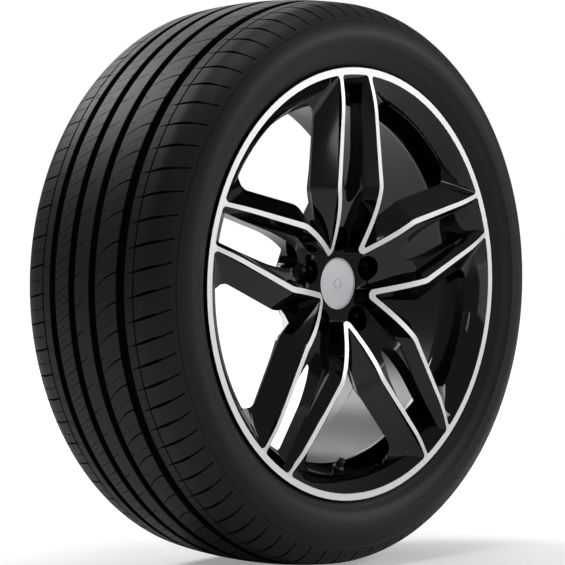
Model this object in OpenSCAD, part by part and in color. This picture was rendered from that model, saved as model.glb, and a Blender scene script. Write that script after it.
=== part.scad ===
// Passenger car wheel: a low-profile road tyre on a cast twin-spoke alloy wheel.
// The wheel stands upright. Its axle runs along Y, its outer face looks along -Y,
// and the origin is at the middle of the axle line, half way across the tyre.

/* [Rim] */
// Diameter of the bead seats, in inches
rim_inch = 19; // [18:1:20]
// Width between the two flanges, in inches
rim_width_inch = 8; // [7.5:0.5:9]
// Height of a flange above its bead seat
flange_h = 17.5; // [16.5:0.5:18.5]
// How far a flange lip stands out past the bead seat
lip_w = 12; // [11:0.5:13]
// Radius of the curl that turns a flange into its lip
curl_r = 9.5; // [8:0.5:10.5]
// Width of the turned silver ring on the front lip
ring_w = 8.2; // [6:0.2:10]
// Thickness of the barrel wall
barrel_wall = 5.5; // [4:0.5:7]
// Depth of the well below the bead seat
well_depth = 18.5; // [17.5:0.5:20]

/* [Spokes] */
// Number of twin spokes
twin_spokes = 5; // [5:1:5]
// Angle of the first twin spoke, as the wheel has rolled to rest
first_spoke = 91; // [80:1:100]
// Width of a turned silver rib
rib_w = 6.8; // [5:0.2:9]
// Width of a silver rib where it meets the ring
rib_foot_w = 5.2; // [4:0.2:7]
// Distance from the axle to the point where two ribs would meet
rib_apex = 42.6; // [40:0.2:46]
// Slant of a rib from the middle of its window, near the hub
rib_angle = 26.8; // [25:0.2:29]
// Length of a rib from that point to its bend
rib_inner_l = 82; // [76:1:88]
// Distance from the middle of a twin spoke to its ribs at the ring
foot_half = 25.8; // [22:0.2:29]
// How far the hub end of the ribs lies behind the crest of the spokes
dish_depth = 26.5; // [20:0.5:30]
// How far the crest of the spokes stands out past the silver ring
crest_rise = 6.9; // [4:0.1:9]
// Thickness of a spoke from its crest to its back
spoke_depth = 33; // [30:1:37]
// How far the floor between two ribs lies behind their faces
pocket_depth = 14; // [11:1:17]
// Distance from the axle to the inner end of a spoke slot
slot_nose = 98; // [92:1:106]
// Half width of a spoke slot
slot_half = 18.5; // [14:0.5:20]
// How far a spoke's sides slope out below its silver ribs
flank_w = 23; // [18:0.5:24]

/* [Hub] */
// Distance from the wheel's middle plane to its mounting face
wheel_offset = 45; // [38:1:50]
// Diameter of the mounting pad
pad_d = 146; // [140:1:152]
// Diameter of the hub bore
hub_bore_d = 63.4; // [57:0.1:66]
// Depth of the hub bore from the mounting face
hub_bore_l = 18; // [12:1:20]
// Diameter of the circle through the lug holes
lug_circle_d = 108; // [105:1:112]
// Diameter of a lug hole
lug_hole_d = 14.5; // [13:0.5:16]
// Diameter of the round pocket in front of a lug hole
lug_pocket_d = 30; // [27:0.5:31]
// Thickness of metal under a lug nut seat
lug_seat_t = 14; // [10:1:16]

/* [Centre cap] */
// Diameter of the cap's face
cap_d = 63; // [60:0.1:64]
// Thickness of the cap's rim
cap_t = 3; // [2:0.1:4]
// Outside diameter of the ring of clips
clip_ring_d = 56; // [52:0.5:57]
// Number of clips
clip_count = 6; // [4:1:8]
// Thickness of a clip
clip_t = 2; // [1.5:0.1:2.5]
// Diameter of the spring wire
spring_wire_d = 1.8; // [1.2:0.1:2.2]

/* [Tyre] */
// Greatest width of the tyre
section_w = 252; // [244:1:262]
// Height of the tyre above the bead seat
section_h = 102; // [96:1:108]
// Radius of the tread's curve across its width
crown_r = 598; // [450:10:900]
// Width of the nearly flat part of the tread
tread_w = 201.4; // [196:0.2:206]
// Distance of the widest point above the bead seat
belly_h = 54; // [50:1:58]
// Thickness of tread and belts at the middle
tread_t = 13.5; // [12.5:0.5:15]
// Thickness of a sidewall
side_t = 9; // [7:0.5:10]
// Depth of the main grooves
groove_depth = 7.5; // [6:0.5:8]
// Width of the outermost main groove
groove_w = 12.5; // [10:0.5:14]
// Width of the other main grooves
inner_groove_w = 10.7; // [8:0.1:12]
// Number of cross grooves round the outer shoulder
outer_pitches = 78; // [60:1:84]
// Width of a cross groove on the outer shoulder
cross_groove_w = 2.9; // [2:0.1:3.5]

/* [Valve] */
// Diameter of the valve hole
valve_hole_d = 11.3; // [11.1:0.1:11.5]
// Thickness of the rim wall at the valve hole
valve_wall = 4; // [3:0.5:6]
// Diameter of the rubber stem
valve_stem_d = 10.4; // [9.6:0.1:11]
// Length of the valve in front of the barrel wall
valve_l = 11; // [11:0.5:14]
// Diameter of the valve's cap
valve_cap_d = 9.4; // [8.6:0.1:9.8]

/* [Clearances] */
// Gap between the tyre's beads and the rim
bead_gap = 0.3; // [0.1:0.1:0.5]
// Gap around the centre cap in its seat
cap_gap = 0.3; // [0.1:0.1:0.5]
// Gap around the rubber valve in its hole
valve_gap = 0.2; // [0.1:0.1:0.3]
// Room around the bulb of the valve in its spot face
bulb_gap = 1.9; // [1:0.1:3]

/* [Hidden] */
$fn = 96;
inch = 25.4;

// Rim sizes that several parts share: z is the distance outboard of the middle plane
seat_r = rim_inch * inch / 2;
half_w = rim_width_inch * inch / 2;
face_z = half_w + lip_w;
lip_r = seat_r + flange_h;
ring_in_r = lip_r - ring_w;
well_r = seat_r - well_depth;
well_in = well_r - barrel_wall;
seat_w = 17;
seat_drop = seat_w * tan(5);
seat_low = seat_r - seat_drop;
hump_h = 0.9;

// Slope inside the barrel that carries the valve, as [z, radius] of its two ends
slope_top = [face_z - 28.6, ring_in_r - 24.4];
slope_end = [face_z - 40.6, well_in + 1.9];

// Face and back of the spokes
sector = 360 / twin_spokes;
window_start = first_spoke + sector / 2;
crest_z = face_z + crest_rise;
dish_start_r = 44;
dish_end_r = 126;
crest_end_r = 205;
back_z = crest_z - spoke_depth;
above_z = crest_z + 10;
through = 1;

// Hub, lug seats and the seat of the cap
pad_z = wheel_offset;
lug_r = lug_circle_d / 2;
lug_seat_z = pad_z + lug_seat_t;
hub_floor_r = 54;
hub_floor_z = crest_z - dish_depth - 11.5;
hub_step = 1.2;
cap_sink = 0.8;
cap_face_z = hub_floor_z - cap_sink;
cap_seat_z = cap_face_z - cap_t;
hook_z = pad_z + hub_bore_l + 3;
hook_h = 3;
hook_out = 1.2;

// Places along one rib, in the frame of its window
rib_dir = [cos(rib_angle), sin(rib_angle)];
bend = [rib_apex, 0] + rib_inner_l * rib_dir;
foot_angle = sector / 2 - asin(foot_half / ring_in_r);
foot = ring_in_r * [cos(foot_angle), sin(foot_angle)];
outer_dir = (foot - bend) / norm(foot - bend);
inner_side = [rib_dir[1], -rib_dir[0]];
outer_side = [outer_dir[1], -outer_dir[0]];
bend_side = (inner_side + outer_side) / (1 + inner_side * outer_side);

// Valve, square to its slope in the middle of one window
valve_angle = window_start + 2 * sector;
valve_tilt = atan2(slope_top[0] - slope_end[0], slope_top[1] - slope_end[1]);
valve_foot = (slope_top + slope_end) / 2;
valve_bulb_d = valve_hole_d + 4;
valve_spot_d = valve_bulb_d + 2 * bulb_gap;

// Tyre section: the crown's arc, then a curve down to the widest point
crown_top = seat_r + section_h;
belly = [section_w / 2, seat_r + belly_h];
tread_half = tread_w / 2;
shoulder = [tread_half, crown_top - tread_half * tread_half / 2 / crown_r];

function mix(a, b, t) = a + (b - a) * t;
function share(x, from, to) = max(0, min(1, (x - from) / (to - from)));
function bezier(p, steps) = [for (i = [0:steps]) let(t = i / steps, s = 1 - t)
    s * s * s * p[0] + 3 * s * s * t * p[1] + 3 * s * t * t * p[2] + t * t * t * p[3]];
function reversed(list) = [for (i = [len(list) - 1:-1:0]) list[i]];
function flipped(list) = [for (p = reversed(list)) [p[0], -p[1]]];

// Height of the spokes' turned face at a distance from the axle
function face_at(r) =
    r < dish_end_r ? crest_z - dish_depth * (1 - sin(90 * share(r, dish_start_r, dish_end_r))) :
    r < crest_end_r ? crest_z :
    face_z + crest_rise * cos(90 * share(r, crest_end_r, ring_in_r));

// Arc that rounds the corner b between a and c
function rounded_corner(a, b, c, r, steps = 5) =
    let(u = (a - b) / norm(a - b), v = (c - b) / norm(c - b),
        half = acos(u * v) / 2, along = r / tan(half),
        p = b + u * along, q = b + v * along,
        centre = b + (u + v) / norm(u + v) * r / sin(half))
    [for (i = [0:steps]) let(m = mix(p, q, i / steps) - centre) centre + m / norm(m) * r];

// Half of a window's edge, set in from the middle of the ribs by one distance at
// each of its three corners: the point near the hub, the bend and the ring
tip_round = 2.2;
bend_round = 34;
arc_steps = 8;
function window_half(in_tip, in_bend, in_foot, end_r, corner_round) =
    let(tip = [rib_apex + in_tip / sin(rib_angle), 0],
        b = bend + bend_side * in_bend,
        f = foot + outer_side * in_foot,
        d = (f - b) / norm(f - b),
        far = b + d * (sqrt(pow(b * d, 2) - b * b + end_r * end_r) - b * d),
        nose_round = in_tip < 0 ? tip_round + rib_w : tip_round,
        nose = rounded_corner([b[0], -b[1]], tip, b, nose_round, 6),
        corner = rounded_corner(b, far, far + [far[1], -far[0]], corner_round),
        spread = atan2(corner[5][1], corner[5][0]))
    concat([for (p = nose) if (p[1] >= 0) p],
        rounded_corner(tip, b, far, bend_round), corner,
        [for (i = [1:arc_steps - 1]) let(a = spread * (1 - i / arc_steps)) end_r * [cos(a), sin(a)]]);
function window_edge(in_tip, in_bend, in_foot, end_r, corner_round) =
    let(h = window_half(in_tip, in_bend, in_foot, end_r, corner_round))
    concat(h, [[end_r, 0]], [for (p = flipped(h)) if (p[1] < 0) p]);

// Solid skin over rings that all have the same number of points
module skin(rings) {
    n = len(rings[0]);
    m = len(rings);
    polyhedron(
        points = [for (ring = rings) for (p = ring) p],
        faces = concat(
            [[for (i = [0:n - 1]) i]],
            [for (j = [0:m - 2]) for (i = [0:n - 1]) let(k = (i + 1) % n)
                each [[j * n + i, (j + 1) * n + k, j * n + k],
                    [j * n + i, (j + 1) * n + i, (j + 1) * n + k]]],
            [[for (i = [n - 1:-1:0]) (m - 1) * n + i]]));
}

module upright() { rotate([90, 0, 0]) children(); }
module around(count, start = 0) { for (i = [0:count - 1]) rotate(start + i * 360 / count) children(); }

// Rim: flanges, bead seats, humps and well outside, stepped barrel inside
module rim() {
    seat_end = half_w - seat_w;
    hump_foot = 1.5;
    hump_w = 5;
    well_end = -half_w + 66;
    back_slope_end = -half_w + 49;
    back_slope_start = -half_w + 27;
    back_in = seat_low - barrel_wall - 1;
    curl = [half_w + curl_r, lip_r - curl_r];
    flange = concat(
        [[half_w, seat_r], [half_w, curl[1]]],
        [for (a = [165:-15:90]) curl + curl_r * [cos(a), sin(a)]],
        [[face_z, lip_r]]);
    hump = [[seat_end, seat_low], [seat_end - hump_foot, seat_low + hump_h],
        [seat_end - hump_w, seat_low + hump_h]];
    well = [[slope_end[0] - 3, well_r], [well_end, well_r], [back_slope_end, seat_low - 3],
        [back_slope_start, seat_low - 1]];
    front_inside = [[face_z, ring_in_r], [face_z - 9.6, ring_in_r - 14.6], [face_z - 21.6, ring_in_r - 22],
        slope_top, slope_end, [slope_end[0] - 3, well_in - 0.6], [slope_end[0] - 9, well_in]];
    back_inside = [[-face_z, ring_in_r + 1], [-face_z + 5, ring_in_r - 6], [-half_w + 7, back_in],
        [back_slope_end - 1, back_in - 2], [well_end - 2, well_in]];
    profile = concat(reversed(flange), hump, well, [for (p = reversed(hump)) [-p[0], p[1]]],
        [for (p = flange) [-p[0], p[1]]], back_inside, reversed(front_inside));
    rotate_extrude() polygon([for (p = profile) [p[1], p[0]]]);
}

// Turned disc that the spokes are cut from, dished towards the hub
module spoke_disc() {
    core_r = 20;
    step = 6;
    front = [for (r = [dish_start_r:step:ring_in_r - step / 2]) [r, face_at(r)]];
    joint = [[ring_in_r + 1, face_z], [ring_in_r + 1, half_w + 2], [seat_r - 2, half_w + 2],
        [ring_in_r - 20, face_z - 20]];
    back = [[ring_in_r - 22, back_z + 2], [160, back_z], [112, back_z - 4], [84, pad_z + 14],
        [pad_d / 2, pad_z]];
    rotate_extrude() polygon(concat([[core_r, pad_z], [core_r, face_at(dish_start_r)]], front, joint, back));
}

// Large window between two twin spokes. Below a sharp edge the spokes' flanks slope out
// to a ridge, where the casting mould parted, and behind it they draw in again.
module window_cut() {
    half = rib_w / 2;
    foot_half_w = rib_foot_w / 2;
    edge_h = 1.2;
    ridge_h = 24;
    tip_flank = 10;
    draw_in = 7;
    fillet = 5;
    corner = 17;
    rim_r = slope_top[1] + 3.5;
    edge = window_edge(half, half, foot_half_w, ring_in_r + 0.3, fillet);
    ridge = window_edge(half + tip_flank, half + flank_w, foot_half_w + flank_w, rim_r, corner);
    back = window_edge(half + tip_flank, half + flank_w - draw_in, foot_half_w + flank_w - draw_in, rim_r, corner);
    skin([
        [for (p = edge) [p[0], p[1], above_z]],
        [for (p = edge) [p[0], p[1], face_at(norm(p)) - edge_h]],
        [for (p = ridge) [p[0], p[1], face_at(norm(p)) - ridge_h]],
        [for (p = back) [p[0], p[1], back_z - 1]],
        [for (p = back) [p[0], p[1], pad_z - 5]]]);
}

// Half width between the silver ribs of a twin spoke, at a distance from the axle
function rib_half_at(x) =
    let(c = cos(sector / 2), s = sin(sector / 2),
        line = [for (p = [[rib_apex, 0], bend, foot]) [p[0] * c + p[1] * s, p[0] * s - p[1] * c]],
        i = x < line[1][0] ? 0 : 1)
    mix(line[i][1], line[i + 1][1], (x - line[i][0]) / (line[i + 1][0] - line[i][0]))
        - mix(rib_w, rib_foot_w, share(x, 120, 240)) / 2;

// Sunken floor between the two ribs, deepest at the hub, with sloping sides
module pocket_cut() {
    side_slope = [3, 9];
    edge_h = 1.2;
    fillet = 4.5;
    end_x = ring_in_r - 0.4;
    places = concat([for (x = [36:8:60]) x], [for (x = [72:14:100]) x], [for (x = [112:6:124]) x],
        [136, 160, 190, 220], [for (a = [0:22.5:90]) end_x - fillet * (1 - sin(a))]);
    skin([for (x = places)
        let(over = max(0, x - end_x + fillet),
            top = rib_half_at(x) - fillet + sqrt(fillet * fillet - over * over),
            bottom = top - mix(side_slope[0], side_slope[1], share(x, 40, 90)),
            z = mix(hub_floor_z + hub_step, crest_z - pocket_depth, share(x, 56, 112)),
            edge_z = min(above_z - 1, max(z + 0.5, face_at(norm([x, top])) - edge_h)))
        [[x, -top, above_z], [x, -top, edge_z], [x, -bottom, z],
            [x, bottom, z], [x, top, edge_z], [x, top, above_z]]]);
}

// Slot through a twin spoke, with a long rounded nose towards the hub
module slot_cut() {
    nose_l = 64;
    taper = 1.5;
    outline = concat(
        [for (a = [-90:10:90]) [slot_nose + nose_l * (1 - cos(a)), slot_half * sin(a)]],
        [[ring_in_r + 4, slot_half - taper], [ring_in_r + 4, taper - slot_half]]);
    translate([0, 0, pad_z - 5]) linear_extrude(above_z - pad_z + 5) polygon(outline);
}

// Lug hole: a plain hole, a conical seat for the nut and a round pocket in front
module lug_hole() {
    hole_r = lug_hole_d / 2;
    pocket_r = lug_pocket_d / 2;
    cone_r = pocket_r - 4;
    cone_h = (cone_r - hole_r) / tan(30);
    top = above_z - lug_seat_z;
    translate([lug_r, 0, pad_z - through]) cylinder(h = above_z - pad_z, r = hole_r);
    translate([lug_r, 0, lug_seat_z]) rotate_extrude()
        polygon([[0, 0], [hole_r, 0], [cone_r, cone_h], [pocket_r, cone_h], [pocket_r, top], [0, top]]);
}

// Bores on the axle line: hub bore behind, bore and groove for the clips, cap seat
module centre_bores() {
    bore_end = pad_z + hub_bore_l;
    clip_bore_r = clip_ring_d / 2 + cap_gap;
    translate([0, 0, pad_z - through]) cylinder(h = hub_bore_l + through, r = hub_bore_d / 2);
    translate([0, 0, bore_end - through]) cylinder(h = above_z - bore_end, r = clip_bore_r);
    translate([0, 0, hook_z]) cylinder(h = hook_h + 2 * cap_gap, r = clip_bore_r + hook_out);
    translate([0, 0, cap_seat_z]) cylinder(h = above_z - cap_seat_z, r = cap_d / 2 + cap_gap);
}

// Hollow in the back of the hub, between two lug holes
module pad_hollow() {
    hollow_d = 22;
    hollow_depth = 8;
    translate([lug_r + 3, 0, pad_z - through]) cylinder(h = hollow_depth + through, d = hollow_d);
}

module at_valve() {
    rotate(valve_angle) translate([valve_foot[1], 0, valve_foot[0]]) rotate([0, -valve_tilt, 0]) children();
}
module valve_hole() {
    hole_h = 40;
    spot_h = 30;
    translate([0, 0, -valve_wall - through]) cylinder(h = hole_h, d = valve_hole_d);
    translate([0, 0, -valve_wall - spot_h]) cylinder(h = spot_h, d = valve_spot_d);
}

// Flat round floor around the cap, one small step below the floor between the ribs,
// and kept clear of the ribs' feet
module hub_floor() {
    clear = -rib_w / 2 - 0.5;
    wide = 2 * bend[0];
    difference() {
        translate([0, 0, hub_floor_z]) cylinder(h = above_z, r = hub_floor_r);
        around(twin_spokes, window_start) translate([0, 0, hub_floor_z - through])
            linear_extrude(above_z + 2 * through)
                polygon(window_edge(clear, clear, clear, wide, rib_w));
    }
}

module alloy_wheel() upright() color([0.05, 0.05, 0.055]) difference() {
    union() {
        rim();
        difference() {
            spoke_disc();
            around(twin_spokes, window_start) window_cut();
            around(twin_spokes, first_spoke) {
                pocket_cut();
                slot_cut();
            }
            hub_floor();
        }
    }
    centre_bores();
    around(twin_spokes, first_spoke) lug_hole();
    around(twin_spokes, window_start) pad_hollow();
    at_valve() valve_hole();
}

// Outside of the tyre, as radius at a distance from the middle plane
function crown_at(z) = crown_top - z * z / 2 / crown_r;
shoulder_curve = bezier([shoulder, shoulder, belly + [0, 17.8], belly], 10);
function tread_at(z) = z <= shoulder[0] ? crown_at(z) : lookup(z, shoulder_curve);

// Grooves round the tread, from the outer side in: place as a share of the tread's half
// width, then width and depth
fine_line_w = 1.6;
fine_line_depth = 3;
grooves = [
    [0.741, fine_line_w, fine_line_depth],
    [0.559, groove_w, groove_depth],
    [0.129, inner_groove_w, groove_depth],
    [-0.204, inner_groove_w, groove_depth],
    [-0.541, inner_groove_w, groove_depth],
    [-0.723, fine_line_w, fine_line_depth]];
function groove_points(g) =
    let(at = g[0] * tread_half, top = g[1] / 2, bottom = top - g[2] * tan(6))
    [for (e = [[top, 0], [bottom, g[2]], [-bottom, g[2]], [-top, 0]])
        [at + e[0], crown_at(at + e[0]) - e[1]]];

// Tyre body, revolved: crown with grooves, sidewalls, beads and hollow inside
module tyre_body() {
    crown_step = 0.87 * tread_half;
    hug = curl_r + bead_gap;
    foot_z = face_z - 1.5;
    lower = bezier([belly, belly - [0, 20], [mix(foot_z, belly[0], 0.2), lip_r + 11], [foot_z, lip_r + 4.5]], 8);
    bead = concat(
        [for (a = [120:15:180]) [half_w + curl_r, lip_r - curl_r] + hug * [cos(a), sin(a)]],
        [[half_w - bead_gap, seat_r + 2], [half_w - 2, seat_r + bead_gap],
            [half_w - seat_w + 1, seat_low + bead_gap + 0.1], [half_w - seat_w, seat_r + 2]]);
    crown_in = crown_top - tread_t;
    liner = concat(
        bezier([[0, crown_in], [0.6 * tread_half, crown_in], shoulder - [14, 9], shoulder + [1, -16]], 8),
        bezier([shoulder + [5, -20], belly + [-side_t, 16], belly - [side_t, 14],
            [half_w + 3, lip_r + 4]], 8),
        [[half_w - 6, seat_r + 13]]);
    side = concat([[crown_step, crown_at(crown_step)]], shoulder_curve, [for (i = [1:8]) lower[i]], bead,
        reversed(liner));
    crown = [for (g = grooves) each groove_points(g)];
    outline = concat([for (p = reversed(side)) [-p[0], p[1]]], reversed(crown), side);
    rotate_extrude($fn = 180) polygon([for (p = outline) [p[1], p[0]]]);
}

// One cross cut in the tread: a path of [outboard, along the tread, half width] points
module tread_cut(path) {
    root = 26;
    top = 12;
    left = [for (p = path) [p[1] + p[2], p[0]]];
    right = [for (p = reversed(path)) [p[1] - p[2], p[0]]];
    rotate([0, 90, 0]) rotate(90) translate([0, 0, crown_top - root]) linear_extrude(root + top)
        polygon(concat(left, right));
}

// Grooves across the outer shoulder: they start thin beside the outermost main groove,
// curve as they widen, and end in a shallow tip on the sidewall
module cross_grooves() {
    h = cross_groove_w / 2;
    start_z = 0.616 * tread_half;
    end_z = mix(tread_half, belly[0], 0.62);
    path = [[end_z, -11.5, h * 0.2], [mix(tread_half, belly[0], 0.49), -11, h * 0.7],
        [mix(tread_half, belly[0], 0.05), -7.8, h], [0.894 * tread_half, -4, h],
        [0.794 * tread_half, -1.3, h * 0.75], [0.64 * tread_half, 3.4, h * 0.3]];
    floor_line = [[start_z, 3], [0.775 * tread_half, 4], [0.953 * tread_half, 6.5],
        [mix(tread_half, belly[0], 0.29), 4.5], [end_z, 0.8]];
    intersection() {
        around(outer_pitches) tread_cut(path);
        rotate_extrude($fn = 180) polygon(concat([for (p = floor_line) [tread_at(p[0]) - p[1], p[0]]],
            [[crown_top + 5, end_z], [crown_top + 5, start_z]]));
    }
}

// Fine moulded line round the outer sidewall
module side_line() {
    line_z = mix(tread_half, belly[0], 0.69);
    rotate_extrude() translate([tread_at(line_z), line_z]) circle(r = 0.7, $fn = 24);
}

module tyre() upright() color([0.13, 0.13, 0.135]) difference() {
    tyre_body();
    cross_grooves();
    side_line();
}

// Snap-in cap: a dished face with a raised rim and a raised middle, and a ring of
// hooked clips behind
module centre_cap() upright() color([0.8, 0.8, 0.82]) {
    r = cap_d / 2;
    edge = 0.8;
    dish = 0.9;
    rim_w = 2.6;
    boss_r = 5.2;
    clip_r = clip_ring_d / 2;
    clip_w = 14;
    clip_end = hook_z + cap_gap;
    overlap = 0.5;
    rotate_extrude() polygon([[0, cap_seat_z], [r - edge / 2, cap_seat_z], [r, cap_seat_z + edge / 2],
        [r, cap_face_z - edge], [r - edge, cap_face_z], [r - rim_w + dish, cap_face_z],
        [r - rim_w, cap_face_z - dish], [boss_r + 1.6, cap_face_z - dish / 2],
        [boss_r + 1.2, cap_face_z - dish],
        [boss_r + 0.4, cap_face_z - dish], [boss_r, cap_face_z - dish / 3], [0, cap_face_z - dish / 5]]);
    intersection() {
        rotate_extrude() polygon([[clip_r - clip_t, cap_seat_z + overlap], [clip_r, cap_seat_z + overlap],
            [clip_r, clip_end + hook_h], [clip_r + hook_out, clip_end + hook_h],
            [clip_r + hook_out, clip_end + hook_h / 2], [clip_r - clip_t / 2, clip_end],
            [clip_r - clip_t, clip_end]]);
        around(clip_count, 30) translate([0, -clip_w / 2, clip_end - through])
            cube([cap_d, clip_w, cap_seat_z - clip_end + 2 * through]);
    }
}

// Wire ring inside the clips, which presses them outwards
module cap_spring() upright() color([0.6, 0.6, 0.62]) {
    wire_r = spring_wire_d / 2;
    rest_gap = 0.1;
    drop = 9;
    translate([0, 0, cap_seat_z - drop]) rotate_extrude(angle = 330)
        translate([clip_ring_d / 2 - clip_t - wire_r - rest_gap, 0]) circle(r = wire_r, $fn = 24);
}

// Sizes that the parts of the valve share, measured from the front of the rim wall
valve_bore_r = 2.4;
core_gap = 0.2;
thread_r = valve_cap_d / 2 - 1.2;
cap_wall = 1;
sleeve_z = valve_l - 7.5;

// Rubber snap-in valve: bulb behind the wall, neck in the hole, tapered stem in front,
// and the thin threaded end that the cap goes over
module valve_stem() upright() color([0.09, 0.09, 0.09]) at_valve() {
    neck_r = valve_hole_d / 2 - valve_gap;
    bulb_r = valve_bulb_d / 2;
    ring_h = 1.4;
    rear_z = -valve_wall;
    rotate_extrude() polygon([[valve_bore_r, rear_z - 9], [bulb_r, rear_z - 8], [bulb_r, rear_z - 4],
        [neck_r, rear_z - 0.5], [neck_r, 0.3], [bulb_r - 0.4, 0.5], [bulb_r - 0.4, ring_h],
        [valve_stem_d / 2, 2 * ring_h], [valve_cap_d / 2 - 0.6, sleeve_z], [thread_r, sleeve_z],
        [thread_r, valve_l - 1], [valve_bore_r, valve_l - 1]]);
}

// Brass core inside the stem, with its pin
module valve_core() upright() color([0.75, 0.62, 0.3]) at_valve() {
    core_l = 18;
    pin_l = 1.6;
    translate([0, 0, valve_l - core_l - 2]) cylinder(h = core_l, r = valve_bore_r - core_gap, $fn = 32);
    translate([0, 0, valve_l - 2.5]) cylinder(h = pin_l, r = 0.9, $fn = 24);
}

// Ribbed cap over the end of the valve
module valve_cap() upright() color([0.07, 0.07, 0.07]) at_valve() {
    r = valve_cap_d / 2;
    bottom = sleeve_z + 0.3;
    top = valve_l + 1.4;
    groove_count = 16;
    groove_r = 0.35;
    groove_l = 5;
    difference() {
        rotate_extrude() polygon([[0, top - cap_wall], [r - cap_wall, top - cap_wall], [r - cap_wall, bottom],
            [r, bottom], [r, top - cap_wall], [r - cap_wall, top], [0, top]]);
        around(groove_count) translate([r, 0, bottom + 1]) cylinder(h = groove_l, r = groove_r, $fn = 16);
    }
}

tyre();
alloy_wheel();
centre_cap();
cap_spring();
valve_stem();
valve_core();
valve_cap();
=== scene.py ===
"""A low-profile road tyre on a gloss black twin-spoke alloy wheel with turned silver faces.

The wheel stands on its tyre. Its axle runs along Y, and its outer face looks along -Y.
Camera, floor and lamps are given in metres, and everything on the wheel in mm.
"""
import math

import bpy
from mathutils import Matrix, Vector


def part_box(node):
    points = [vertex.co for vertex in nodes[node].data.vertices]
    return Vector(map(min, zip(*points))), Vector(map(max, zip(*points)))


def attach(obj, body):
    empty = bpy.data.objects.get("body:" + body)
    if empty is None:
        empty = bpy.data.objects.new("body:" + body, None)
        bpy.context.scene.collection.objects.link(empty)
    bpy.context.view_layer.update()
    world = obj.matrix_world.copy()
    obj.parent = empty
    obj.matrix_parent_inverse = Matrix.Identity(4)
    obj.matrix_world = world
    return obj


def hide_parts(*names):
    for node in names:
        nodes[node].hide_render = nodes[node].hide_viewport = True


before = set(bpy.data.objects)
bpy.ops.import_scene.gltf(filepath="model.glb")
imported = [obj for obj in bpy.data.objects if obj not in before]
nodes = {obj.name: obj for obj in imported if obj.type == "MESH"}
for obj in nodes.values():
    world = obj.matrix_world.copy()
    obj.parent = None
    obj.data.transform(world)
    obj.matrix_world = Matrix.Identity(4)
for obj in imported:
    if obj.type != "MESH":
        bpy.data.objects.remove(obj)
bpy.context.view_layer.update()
MM = 0.001

# ---------------------------------------------------------------------------------------
# Camera: a long lens a little above the axle, turned so that the tread shows at the
# left and the outer face at the right.
# ---------------------------------------------------------------------------------------
CAMERA_AT = Vector((-2.528, -2.3096, 0.119))
CAMERA_AZIMUTH = math.radians(-47.48)
CAMERA_HEIGHT = math.radians(2.0)
LENS = 178.44
SENSOR = 36.0
VIEW_DEPTH = 100.0

to_camera = Vector((math.sin(CAMERA_AZIMUTH) * math.cos(CAMERA_HEIGHT),
                    -math.cos(CAMERA_AZIMUTH) * math.cos(CAMERA_HEIGHT), math.sin(CAMERA_HEIGHT)))
bpy.ops.object.camera_add(location=CAMERA_AT, rotation=to_camera.to_track_quat("Z", "Y").to_euler())
camera = bpy.context.object
camera.name = "camera"
camera.data.lens = LENS
camera.data.sensor_width = SENSOR
camera.data.clip_end = VIEW_DEPTH
bpy.context.scene.camera = camera
bpy.context.scene.view_settings.view_transform = "Standard"


# ---------------------------------------------------------------------------------------
# Floor and light: pale studio paper that runs out to white, a dim white surround, and soft
# boxes behind, above and beside the wheel, which the black paint mirrors as grey shapes.
# ---------------------------------------------------------------------------------------
def linear(hex_colour):
    """An sRGB hex colour as a linear RGBA value."""
    def channel(i):
        c = int(hex_colour[i:i + 2], 16) / 255
        return c / 12.92 if c <= 0.04045 else ((c + 0.055) / 1.055) ** 2.4
    return (channel(1), channel(3), channel(5), 1.0)


def set_sockets(tree, node, values):
    """Sets sockets of a node, each to a number, a colour or another node's output."""
    for key, value in values.items():
        if isinstance(value, bpy.types.NodeSocket):
            tree.links.new(value, node.inputs[key])
        else:
            node.inputs[key].default_value = value


def add_node(tree, kind, values=None, **settings):
    """Adds a node. settings are its own properties, values its sockets."""
    node = tree.nodes.new(kind)
    for key, value in settings.items():
        setattr(node, key, value)
    set_sockets(tree, node, values or {})
    return node


def new_material(name):
    """A new material, with its node tree and its shader."""
    material = bpy.data.materials.new(name)
    material.use_nodes = True
    return material, material.node_tree, material.node_tree.nodes["Principled BSDF"]


FLOOR_SIZE = 40.0
FLOOR_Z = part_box("tyre")[0].z
SURROUND_LIGHT = 0.2
BACKGROUND = 1.0
NEAR_FLOOR, FAR_FLOOR = 0.4, 3.0
FLOOR_LIFT, FAR_FLOOR_LIFT = 0.3, 0.95
AIM_AT = Vector((0, -0.08, 0))
LAMPS = [  # name, place, width and height, watts
    ("box_behind", (-0.4, 2.2, 2.1), (1.3, 1.2), 46),
    ("box_right", (3.09, -2.98, 1.65), (2.6, 1.8), 66),
    ("box_top", (0.0, -0.3, 2.4), (1.6, 0.8), 14),
    ("box_behind_right", (1.5, 2.4, 2.0), (1.8, 1.8), 18),
    ("card_front", (-0.4, -3.0, 0.0), (1.4, 1.0), 3.8),
    ("card_near_camera", (-1.83, -2.3, 0.86), (0.26, 0.42), 1.0)]

# The surround is white to the camera and dim to the object.
world = bpy.data.worlds.new("white_surround")
bpy.context.scene.world = world
world.use_nodes = True
tree = world.node_tree
tree.nodes.clear()
light_path = add_node(tree, "ShaderNodeLightPath")
strength = add_node(tree, "ShaderNodeMapRange", {
    "Value": light_path.outputs["Is Camera Ray"], "To Min": SURROUND_LIGHT, "To Max": BACKGROUND})
surround = add_node(tree, "ShaderNodeBackground", {
    "Color": linear("#FFFFFF"), "Strength": strength.outputs["Result"]})
add_node(tree, "ShaderNodeOutputWorld", {"Surface": surround.outputs[0]})

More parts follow.
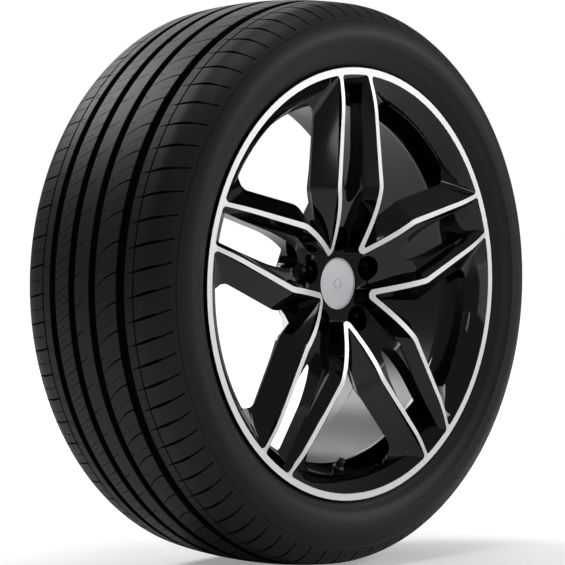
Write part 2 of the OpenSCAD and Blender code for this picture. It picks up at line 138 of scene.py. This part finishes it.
# White floor paper: matt, with no gloss. To the camera alone it is lifted, more so far
# away, so that it keeps the shadow near the wheel and has no horizon.
bpy.ops.mesh.primitive_plane_add(size=FLOOR_SIZE, location=(0, 0, FLOOR_Z))
floor = bpy.context.object
bpy.ops.object.transform_apply(location=True)
floor.name = "floor"
floor_paper, tree, shader = new_material("white_floor_paper")
light_path = add_node(tree, "ShaderNodeLightPath")
place = add_node(tree, "ShaderNodeTexCoord")
away = add_node(tree, "ShaderNodeVectorMath", {0: place.outputs["Object"]}, operation="LENGTH")
glow = add_node(tree, "ShaderNodeMapRange", {
    "Value": away.outputs["Value"], "From Min": NEAR_FLOOR, "From Max": FAR_FLOOR,
    "To Min": FLOOR_LIFT, "To Max": FAR_FLOOR_LIFT})
lift = add_node(tree, "ShaderNodeMath", {
    0: light_path.outputs["Is Camera Ray"], 1: glow.outputs["Result"]}, operation="MULTIPLY")
set_sockets(tree, shader, {
    "Base Color": linear("#F6F6F6"), "Roughness": 0.9, "Specular IOR Level": 0.0,
    "Emission Color": linear("#FFFFFF"), "Emission Strength": lift.outputs[0]})
floor.data.materials.append(floor_paper)

for name, at, size, watts in LAMPS:
    bpy.ops.object.light_add(type="AREA", location=at)
    lamp = bpy.context.object
    lamp.name = name
    lamp.data.shape = "RECTANGLE"
    lamp.data.size, lamp.data.size_y = size
    lamp.data.energy = watts
    lamp.rotation_euler = (Vector(at) - AIM_AT).to_track_quat("Z", "Y").to_euler()


# ---------------------------------------------------------------------------------------
# Alloy wheel: one aluminium casting, painted gloss black, then turned on a lathe so that
# the ring and the edges of the spokes come out bare and silver. The real one is bolted to
# the car's hub.
# ---------------------------------------------------------------------------------------
def deselect():
    """Leaves edit mode and selects nothing."""
    if bpy.context.object and bpy.context.object.mode != "OBJECT":
        bpy.ops.object.mode_set(mode="OBJECT")
    bpy.ops.object.select_all(action="DESELECT")


def edit_all():
    """Opens the active mesh in edit mode with everything selected."""
    bpy.ops.object.mode_set(mode="EDIT")
    bpy.ops.mesh.select_all(action="SELECT")


CAD_WELD = 0.002


def own_copy(node, name):
    """A copy of a CAD node with its own mesh, its loose triangles joined up."""
    deselect()
    piece = nodes[node].copy()
    piece.data = nodes[node].data.copy()
    piece.parent = None
    for key in list(piece.keys()):
        del piece[key]
    piece.name = piece.data.name = name
    bpy.context.scene.collection.objects.link(piece)
    piece.data.materials.clear()
    bpy.context.view_layer.objects.active = piece
    piece.select_set(True)
    edit_all()
    bpy.ops.mesh.remove_doubles(threshold=CAD_WELD * MM)
    bpy.ops.mesh.customdata_custom_splitnormals_clear()
    bpy.ops.object.mode_set(mode="OBJECT")
    return piece


def fine_bump(tree, scale, detail, strength, depth):
    """The Normal output of a fine noise bump: waves per metre, detail, strength, metres."""
    place = add_node(tree, "ShaderNodeTexCoord")
    noise = add_node(tree, "ShaderNodeTexNoise", {
        "Vector": place.outputs["Object"], "Scale": scale, "Detail": detail})
    bump = add_node(tree, "ShaderNodeBump", {
        "Height": noise.outputs["Fac"], "Strength": strength, "Distance": depth})
    return bump.outputs["Normal"]


def share(x, start, end):
    """How far x has come from start to end, from 0 to 1."""
    return max(0.0, min(1.0, (x - start) / (end - start)))


RING_Z = 113.6
RING_IN_R = 250.6
CREST_RISE = 6.9
CREST_END = 205.0
DISH_DEPTH = 26.5
DISH_FROM, DISH_TO = 44.0, 126.0


def turned_face(r):
    """How far outboard the lathe left the face, at a distance from the axle."""
    if r < DISH_TO:
        dip = 1 - math.sin(math.pi / 2 * share(r, DISH_FROM, DISH_TO))
        return RING_Z + CREST_RISE - DISH_DEPTH * dip
    return RING_Z + CREST_RISE * math.cos(math.pi / 2 * share(r, CREST_END, RING_IN_R))


wheel = own_copy("alloy_wheel", "wheel_casting")

# Gloss black paint under lacquer, IOR 1.5: near black, so the eye sees mostly the sharp
# grey mirror images of the boxes, with a faint orange peel about 6 mm across.
black_paint, tree, shader = new_material("gloss_black_paint")
set_sockets(tree, shader, {
    "Base Color": linear("#020202"), "Roughness": 0.06, "IOR": 1.5,
    "Normal": fine_bump(tree, 160.0, 2.0, 0.006, 0.0004)})

# The same black inside the barrel, sprayed thinner and left rougher: it spreads the
# boxes into broad soft greys.
barrel_paint, tree, shader = new_material("satin_black_paint")
set_sockets(tree, shader, {"Base Color": linear("#030303"), "Roughness": 0.3, "IOR": 1.5})

# Bare turned aluminium: a metal, bright and even, whose lathe lines run round the axle
# and blur what it mirrors into a satin silver.
TURNING_PITCH = 0.9
turned_alloy, tree, shader = new_material("turned_aluminium")
place = add_node(tree, "ShaderNodeTexCoord")
flat = add_node(tree, "ShaderNodeMapping", {"Vector": place.outputs["Object"], "Scale": (1, 0, 1)})
away = add_node(tree, "ShaderNodeVectorMath", {0: flat.outputs[0]}, operation="LENGTH")
turns = add_node(tree, "ShaderNodeMath", {
    0: away.outputs["Value"], 1: 2 * math.pi / (TURNING_PITCH * MM)}, operation="MULTIPLY")
lines = add_node(tree, "ShaderNodeMath", {0: turns.outputs[0]}, operation="SINE")
turning = add_node(tree, "ShaderNodeBump", {
    "Height": lines.outputs[0], "Strength": 0.12, "Distance": 0.00005})
set_sockets(tree, shader, {
    "Base Color": linear("#F0F0F1"), "Metallic": 1.0, "Roughness": 0.5,
    "Normal": turning.outputs["Normal"]})

# Each face gets its finish from where it lies.
for material in (black_paint, turned_alloy, barrel_paint):
    wheel.data.materials.append(material)
PAINTED, TURNED, BARREL = 0, 1, 2
TURNED_LOOKS_OUT = 0.6
TURNED_FROM = 40.0
TURNED_WITHIN = 0.6
BARREL_FROM = 190.0
BARREL_FACE = 58.0
for face in wheel.data.polygons:
    c = face.center / MM
    r = math.hypot(c.x, c.z)
    outboard = -c.y
    looks_out = -face.normal.y > TURNED_LOOKS_OUT
    if looks_out and r > TURNED_FROM and abs(outboard - turned_face(r)) < TURNED_WITHIN:
        face.material_index = TURNED
    elif r > BARREL_FROM and outboard < BARREL_FACE:
        face.material_index = BARREL

# A casting has no sharp edges. Flat faces are joined up, every edge gets a small round,
# and the flats keep their own straight reflections beside it.
FLAT_WITHIN = math.radians(0.6)
EDGE_FROM = math.radians(32)
SMOOTH_UP_TO = math.radians(34)
EDGE_ROUND = 0.45
edit_all()
bpy.ops.mesh.dissolve_limited(angle_limit=FLAT_WITHIN, delimit={"MATERIAL"})
bpy.ops.object.mode_set(mode="OBJECT")
edge = wheel.modifiers.new("cast_edges", "BEVEL")
edge.width = EDGE_ROUND * MM
edge.segments = 2
edge.limit_method = "ANGLE"
edge.angle_limit = EDGE_FROM
edge.use_clamp_overlap = True
edge.harden_normals = False
edge.material = PAINTED
bpy.ops.object.modifier_apply(modifier=edge.name)
bpy.ops.object.shade_smooth_by_angle(angle=SMOOTH_UP_TO)
flats = wheel.modifiers.new("flat_faces", "WEIGHTED_NORMAL")
flats.keep_sharp = True
flats.weight = 100
bpy.ops.object.modifier_apply(modifier=flats.name)
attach(wheel, "root")
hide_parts("alloy_wheel")

# ---------------------------------------------------------------------------------------
# Tyre: rubber, moulded in one piece and held on the rim's seats by its air. Four deep
# grooves and two fine lines run round the tread, and rows of cuts cross its ribs. The
# cuts follow the mould, whose pitch varies round the tyre.
# ---------------------------------------------------------------------------------------
TREAD_R = 343.3
CROWN_R = 598.0
TREAD_HALF = 100.7
SHOULDER_ROUND = 15.0
BELLY = (126.0, 295.3)
BELLY_PULL_UP, BELLY_PULL_DOWN = 17.8, 20
LIP_R = 258.8
LIP_END = (112.1, LIP_R + 4.5)
LIP_PULL = 11
CROWN_STEP = 4
ROUND_STEPS, UPPER_STEPS, LOWER_STEPS = 8, 18, 10


def crown(z):
    """Radius of the tread at a distance outboard."""
    return TREAD_R - z * z / 2 / CROWN_R


def curve(p, steps):
    """Points of a cubic Bezier curve, without the first one."""
    out = []
    for i in range(1, steps + 1):
        t = i / steps
        s = 1 - t
        a, b, c, d = s ** 3, 3 * s * s * t, 3 * s * t * t, t ** 3
        out.append(tuple(a * p[0][k] + b * p[1][k] + c * p[2][k] + d * p[3][k] for k in (0, 1)))
    return out


def two_thirds(a, b):
    """The point two thirds of the way from a to b."""
    return tuple((p + 2 * q) / 3 for p, q in zip(a, b))


# The tyre's outside from the middle of the tread to the lip, as (outboard, radius)
shoulder = (TREAD_HALF, crown(TREAD_HALF))
upper_side = curve([shoulder, shoulder, (BELLY[0], BELLY[1] + BELLY_PULL_UP), BELLY], UPPER_STEPS)
lower_side = curve([BELLY, (BELLY[0], BELLY[1] - BELLY_PULL_DOWN),
                    (BELLY[0] - LIP_PULL, LIP_R + LIP_PULL), LIP_END], LOWER_STEPS)
round_from = (TREAD_HALF - SHOULDER_ROUND, crown(TREAD_HALF - SHOULDER_ROUND))
beyond = [p for p in upper_side if math.dist(p, shoulder) > SHOULDER_ROUND]
rounding = curve([round_from, two_thirds(round_from, shoulder),
                  two_thirds(beyond[0], shoulder), beyond[0]], ROUND_STEPS)
side_points = rounding + beyond[1:] + lower_side
crown_points = [(z, crown(z)) for z in range(0, int(round_from[0]), CROWN_STEP)]
outer_line = crown_points + [round_from] + side_points
travel = [0.0]
for a, b in zip(outer_line, outer_line[1:]):
    travel.append(travel[-1] + math.dist(a, b))


def on_tyre(s, lift=0.0):
    """A point on the tyre's outside, s mm from the middle of the tread, lifted off it."""
    i = max(k for k in range(len(travel) - 1) if travel[k] <= abs(s) or k == 0)
    t = (abs(s) - travel[i]) / (travel[i + 1] - travel[i])
    (z0, r0), (z1, r1) = outer_line[i], outer_line[i + 1]
    run = math.dist((z0, r0), (z1, r1))
    z = z0 + (z1 - z0) * t - (r1 - r0) / run * lift
    r = r0 + (r1 - r0) * t + (z1 - z0) / run * lift
    return (math.copysign(z, s), r)


# Grooves round the tread: (outboard, width, depth)
GROOVES = [(-54.5, 10.7, 8.0), (-20.5, 10.7, 8.0), (13.0, 10.7, 8.0), (56.3, 12.5, 8.0)]
FINE_LINES = [(-72.4, 1.8, 3.0), (74.8, 1.6, 2.5)]
GROOVE_LIP, GROOVE_CORNER, CORNER_SHARE, GROOVE_DRAFT = 0.5, 1.6, 0.2, 0.1
NARROWEST = 0.05
RIB_STEP = 6
RIB_END_BEFORE, RIB_START_AFTER = 1.5, 2.5


def groove_section(at, width, depth):
    """Outline of one groove: small rounded lips, sloping walls, rounded bottom corners."""
    lip = min(GROOVE_LIP, width * CORNER_SHARE)
    corner = min(GROOVE_CORNER, width * CORNER_SHARE)
    draft = depth * GROOVE_DRAFT
    half = width / 2
    steps = [(half + lip, 0), (half, lip), (half - draft, depth - corner),
             (half - draft - corner, depth)]
    pairs = [(x, d) for x, d in steps if x > NARROWEST]
    pairs = pairs + [(-x, d) for x, d in reversed(pairs)]
    return [(at + x, crown(at + x) - d) for x, d in reversed(pairs)]


# Sidewall: a fine line and, further down, a low band, as (mm along the outside, lift)
SIDE_LINE = [(126.8, 0.0), (127.2, -0.6), (128.0, -0.6), (128.4, 0.0)]
LOW_BAND = [(157.4, 0.0), (158.0, -0.5), (168.0, -0.5), (172.0, 0.0)]
LINE_CLEAR, BAND_CLEAR = 2, 1

# Bead: it hugs the rim's flange, and its foot is given from the flange and the seat.
SEAT_R = 241.3
FLANGE_Z = 101.6
FLANGE_CURL = 9.5
HUG_R = 9.8
HUG_ANGLES = (120, 140, 160, 180)
BEAD_FOOT = [(-0.3, 2), (-2, 0.4), (-16, -1), (-17, 2), (-6, 13)]
SIDE_WALL = 10
LINER_HALF = 14
CROWN_WALL = 18


def section():
    """Closed outline of the tyre's wall as (outboard, radius)."""
    top = []
    z = -round_from[0] + CROWN_STEP
    for at, width, depth in sorted(GROOVES + FINE_LINES):
        rib_end = at - width / 2 - RIB_END_BEFORE
        while z < rib_end:
            top.append((z, crown(z)))
            z += RIB_STEP
        top += groove_section(at, width, depth)
        z = at + width / 2 + RIB_START_AFTER
    first = len(outer_line) - len(side_points) - 1
    steps = SIDE_LINE + LOW_BAND
    for s in travel[first:-1]:
        off_band = not LOW_BAND[0][0] - BAND_CLEAR < s < LOW_BAND[-1][0] + BAND_CLEAR
        if off_band and abs(s - SIDE_LINE[1][0]) > LINE_CLEAR:
            steps.append((s, 0.0))
    side = [on_tyre(s, rise) for s, rise in sorted(steps)] + [outer_line[-1]]
    hug = [(FLANGE_Z + FLANGE_CURL + HUG_R * math.cos(math.radians(a)),
            LIP_R - FLANGE_CURL + HUG_R * math.sin(math.radians(a))) for a in HUG_ANGLES]
    foot = [(FLANGE_Z + z, SEAT_R + r) for z, r in BEAD_FOOT]
    liner = [(BELLY[0] - SIDE_WALL, BELLY[1] - LINER_HALF),
             (BELLY[0] - SIDE_WALL, BELLY[1] + LINER_HALF), (shoulder[0], shoulder[1] - CROWN_WALL)]
    half = side + hug + foot + liner
    return [(-z, r) for z, r in reversed(half[1:])] + top + half


def around_axle(r, angle, z):
    """Metres in the frame, from a radius, an angle in degrees and a distance outboard."""
    a = math.radians(angle)
    return Vector((r * math.cos(a), -z, r * math.sin(a))) * MM


TURN_STEPS = 312
SPIN_WELD = 0.02
deselect()
outline = section()
bpy.ops.mesh.primitive_circle_add(vertices=len(outline), fill_type="NOTHING")
tyre = bpy.context.object
tyre.name = tyre.data.name = "road_tyre"
for vertex, (z, r) in zip(tyre.data.vertices, outline):
    vertex.co = around_axle(r, 0, z)
edit_all()
bpy.ops.mesh.spin(steps=TURN_STEPS, angle=2 * math.pi, center=(0, 0, 0), axis=(0, 1, 0))
bpy.ops.mesh.select_all(action="SELECT")
bpy.ops.mesh.remove_doubles(threshold=SPIN_WELD * MM)
bpy.ops.mesh.normals_make_consistent(inside=False)
bpy.ops.object.mode_set(mode="OBJECT")

PITCH_SWING = 1.8
PITCH_WAVES = 3
PITCH_FROM = 209.0


def pitch_angles(count, first):
    """Where the repeats of one row stand: evenly, then moved by the mould's varied pitch."""
    out = []
    for i in range(count):
        even = first - 360 * i / count
        wave = math.sin(math.radians(PITCH_WAVES * (PITCH_FROM - even)))
        out.append(even + PITCH_SWING * wave)
    return out


ROLL_R = 335.0
BAR_LIFT = 3.0
BAR_TOP, BAR_BOTTOM = 1.15, 0.8
cutters = []


def cut_row(name, path, angles):
    """Cutters for one row. The path holds [mm from the middle, mm round the tread, half
    width, depth]. One bar is shaped, wider at its top, and then copied to each angle."""
    deselect()
    bpy.ops.mesh.primitive_grid_add(x_subdivisions=len(path) - 1, y_subdivisions=1, size=2)
    bar = bpy.context.object
    bar.name = name
    edit_all()
    bpy.ops.mesh.extrude_region_move(TRANSFORM_OT_translate={"value": (0, 0, -1)})
    bpy.ops.object.mode_set(mode="OBJECT")
    for vertex in bar.data.vertices:
        i = round((vertex.co.x + 1) / 2 * (len(path) - 1))
        s, along, half, depth = path[i]
        high = vertex.co.z > -0.5
        z, r = on_tyre(-s, BAR_LIFT if high else -depth)
        side = math.copysign(half * (BAR_TOP if high else BAR_BOTTOM), vertex.co.y)
        vertex.co = around_axle(r, math.degrees((along + side) / ROLL_R), z)
    edit_all()
    bpy.ops.mesh.normals_make_consistent(inside=False)
    bpy.ops.object.mode_set(mode="OBJECT")
    for angle in angles:
        copy = bar.copy()
        copy.data = bar.data.copy()
        copy.data.transform(Matrix.Rotation(-math.radians(angle), 4, "Y"))
        bpy.context.scene.collection.objects.link(copy)
        cutters.append(copy)
    bpy.data.objects.remove(bar)


# Outer shoulder: each cut starts as a shallow rounded end on the sidewall, deepens, and
# runs out thin beside the outermost groove. A finer cut lies half way to the next one.
outer = pitch_angles(count=78, first=209.4)
cut_row("shoulder_cut", [
    [-111.0, 3.4, 0.5, 0.8], [-105.5, 4.9, 1.3, 3], [-99.2, 6.5, 1.75, 5], [-90.8, 8.8, 1.8, 6.5],
    [-82.5, 11.1, 1.5, 6], [-75.0, 13.2, 1.0, 4], [-70.0, 14.2, 0.7, 3], [-64.2, 16.3, 0.3, 2]], outer)
cut_row("shoulder_tip", [
    [-122.6, -0.3, 0.7, 0.5], [-121.6, 0.0, 1.2, 0.7], [-109.5, 3.8, 1.2, 0.6]], outer)
cut_row("shoulder_fine", [[-73.6, -1.3, 0.25, 2], [-63.4, 1.7, 0.25, 2]], outer)

# Second rib: a bold curved cut, a finer one between, and a short dash
inner = pitch_angles(count=64, first=208.4)
cut_row("curved_cut", [
    [-51.5, -0.5, 0.9, 6], [-45.0, 1.7, 0.9, 6], [-36.7, 5.4, 0.85, 6],
    [-28.3, 11.2, 0.7, 5], [-23.3, 15.8, 0.55, 4], [-17.5, 20.0, 0.4, 3]], inner)
cut_row("curved_fine", [
    [-51.5, 20.0, 0.3, 3], [-45.0, 20.4, 0.28, 3], [-38.3, 23.6, 0.25, 3], [-30.0, 29.2, 0.2, 2]], inner)
cut_row("dash", [[-24.8, 0.3, 0.5, 3], [-20.4, 1.4, 0.5, 3]], inner)

# Middle rib: one short notch for each repeat
cut_row("middle_notch", [[0.6, -1.0, 0.35, 2], [7.5, 3.7, 0.6, 4], [16.5, 8.6, 0.5, 4]], inner)

# Fourth rib: slanting cuts, bold and fine, with a wider head on the fine ones
slanted = pitch_angles(count=128, first=208.4)
cut_row("slanted_cut", [[25.6, -0.8, 0.5, 4], [36.0, 4.9, 0.45, 4], [48.0, 11.6, 0.25, 3]], slanted)
cut_row("slanted_fine", [
    [36.5, -2.8, 0.6, 2], [38.2, -1.8, 0.6, 2], [38.6, -1.5, 0.22, 2], [48.6, 4.0, 0.2, 2]], slanted)

# Inner shoulder: two links slant across the narrow band, and cuts run on to the sidewall
inner_shoulder = pitch_angles(count=64, first=207.4)
cut_row("link", [[60.4, 4.4, 0.3, 3], [73.0, 0.2, 0.3, 3]], inner_shoulder)
cut_row("link_second", [[60.4, 0.4, 0.3, 3], [73.0, -3.2, 0.3, 3]], inner_shoulder)
cut_row("inner_bold", [
    [71.0, -0.6, 1.0, 5], [85.0, 2.6, 1.1, 6], [97.5, 4.7, 1.0, 5], [110.0, 6.5, 0.6, 1.5]],
    inner_shoulder)
cut_row("inner_fine", [
    [71.0, 15.4, 0.4, 3], [83.0, 18.9, 0.45, 3], [97.5, 20.2, 0.4, 3], [104.0, 20.6, 0.3, 1]],
    inner_shoulder)

# All cutters become one object and are cut out of the tyre at once. The small holes that
# the cut leaves in the mesh are closed after it.
SMALL_HOLE_SIDES = 6
TYRE_SMOOTH_UP_TO = math.radians(32)
deselect()
for cutter in cutters:
    cutter.select_set(True)
bpy.context.view_layer.objects.active = cutters[0]
bpy.ops.object.join()
cuts = bpy.context.object
deselect()
tyre.select_set(True)
bpy.context.view_layer.objects.active = tyre
carve = tyre.modifiers.new("tread_cuts", "BOOLEAN")
carve.object = cuts
carve.operation = "DIFFERENCE"
carve.solver = "MANIFOLD"
bpy.ops.object.modifier_apply(modifier=carve.name)
bpy.data.objects.remove(cuts)
edit_all()
bpy.ops.mesh.fill_holes(sides=SMALL_HOLE_SIDES)
bpy.ops.object.mode_set(mode="OBJECT")
bpy.ops.object.shade_smooth_by_angle(angle=TYRE_SMOOTH_UP_TO)

# Moulded tyre rubber: charcoal, filled with carbon black, clouded a little over about
# 10 cm and grained at about 1 mm. Its matt skin gives the eye a broad soft sheen, and the
# IOR is set below clean rubber's 1.5 to keep that sheen as weak as in the photograph.
RUBBER_GRAIN = (900.0, 3.0, 0.2, 0.0002)
tread_rubber, tree, shader = new_material("moulded_tread_rubber")
place = add_node(tree, "ShaderNodeTexCoord")
cloud = add_node(tree, "ShaderNodeTexNoise", {
    "Vector": place.outputs["Object"], "Scale": 9.0, "Detail": 4.0})
tone = add_node(tree, "ShaderNodeMix", {
    0: cloud.outputs["Fac"], 6: linear("#171717"), 7: linear("#1E1E1F")}, data_type="RGBA")
set_sockets(tree, shader, {
    "Base Color": tone.outputs[2], "Roughness": 0.5, "IOR": 1.33,
    "Normal": fine_bump(tree, *RUBBER_GRAIN)})

# The same rubber down in the grooves and cuts, rougher and with next to no sheen, and painted
# near black as painted shade for the depth of the cuts, so that the pattern reads as black lines.
painted_shade_groove_rubber, tree, shader = new_material("painted_shade_groove_rubber")
set_sockets(tree, shader, {
    "Base Color": linear("#040404"), "Roughness": 0.9, "IOR": 1.2,
    "Normal": fine_bump(tree, *RUBBER_GRAIN)})

tyre.data.materials.clear()
tyre.data.materials.append(tread_rubber)
tyre.data.materials.append(painted_shade_groove_rubber)
PAINTED_SHADE_GROOVES = 1
CUTS_END_Z = 117.0
CUT_FACE_BELOW = 0.4


def outer_r(z):
    """Radius of the tyre's uncut outside at a distance outboard."""
    for (z0, r0), (z1, r1) in zip(outer_line, outer_line[1:]):
        if z0 <= z <= z1:
            return r0 + (r1 - r0) * (z - z0) / (z1 - z0)
    return BELLY[1]


# Faces cut below the tyre's outside, in the grooves and cuts, get the near-black painted shade.
for face in tyre.data.polygons:
    c = face.center / MM
    r = math.hypot(c.x, c.z)
    if abs(c.y) < CUTS_END_Z and BELLY[1] < r < outer_r(abs(c.y)) - CUT_FACE_BELOW:
        face.material_index = PAINTED_SHADE_GROOVES
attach(tyre, "root")
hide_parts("tyre")

# ---------------------------------------------------------------------------------------
# Centre cap: a moulded plastic disc with a raised rim and middle, pressed into the
# wheel's bore, where clips behind it hold.
# ---------------------------------------------------------------------------------------
# Satin silver paint: metal flakes in lacquer, so mostly metallic, with a fine sparkle
# under half a millimetre across. It gives a soft even silver, duller than the turned ring.
CAP_SMOOTH_UP_TO = math.radians(30)
silver_paint, tree, shader = new_material("satin_silver_paint")
set_sockets(tree, shader, {
    "Base Color": linear("#CDCFD2"), "Metallic": 0.85, "Roughness": 0.42,
    "Normal": fine_bump(tree, 2500.0, 2.0, 0.08, 0.0001)})
cap = own_copy("centre_cap", "centre_cap_face")
cap.data.materials.append(silver_paint)
bpy.ops.object.shade_smooth_by_angle(angle=CAP_SMOOTH_UP_TO)
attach(cap, "root")
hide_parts("centre_cap")

# ---------------------------------------------------------------------------------------
# Valve and cap spring: a rubber stem pulled through the barrel, a brass core screwed into
# it under a plastic cap, and a wire ring behind the centre cap. Their CAD shapes stay.
# ---------------------------------------------------------------------------------------
SMALL_GRAIN = (700.0, 2.0, 0.15, 0.0001)


def finish_node(node, name, colour, roughness, metallic=0.0):
    """A plain finish with a fine grain for a small piece that keeps its CAD shape."""
    material, tree, shader = new_material(name)
    set_sockets(tree, shader, {
        "Base Color": linear(colour), "Roughness": roughness, "Metallic": metallic,
        "Normal": fine_bump(tree, *SMALL_GRAIN)})
    nodes[node].data.materials.clear()
    nodes[node].data.materials.append(material)


# Matt black rubber, black plastic with a little more shine, yellow brass with the polish
# of a turned part, and bright drawn steel wire
finish_node("valve_stem", "moulded_valve_rubber", "#141414", 0.5)
finish_node("valve_cap", "moulded_valve_plastic", "#121212", 0.4)
finish_node("valve_core", "turned_brass", "#C8A55A", 0.3, metallic=1.0)
finish_node("cap_spring", "drawn_spring_wire", "#B9BABC", 0.3, metallic=1.0)
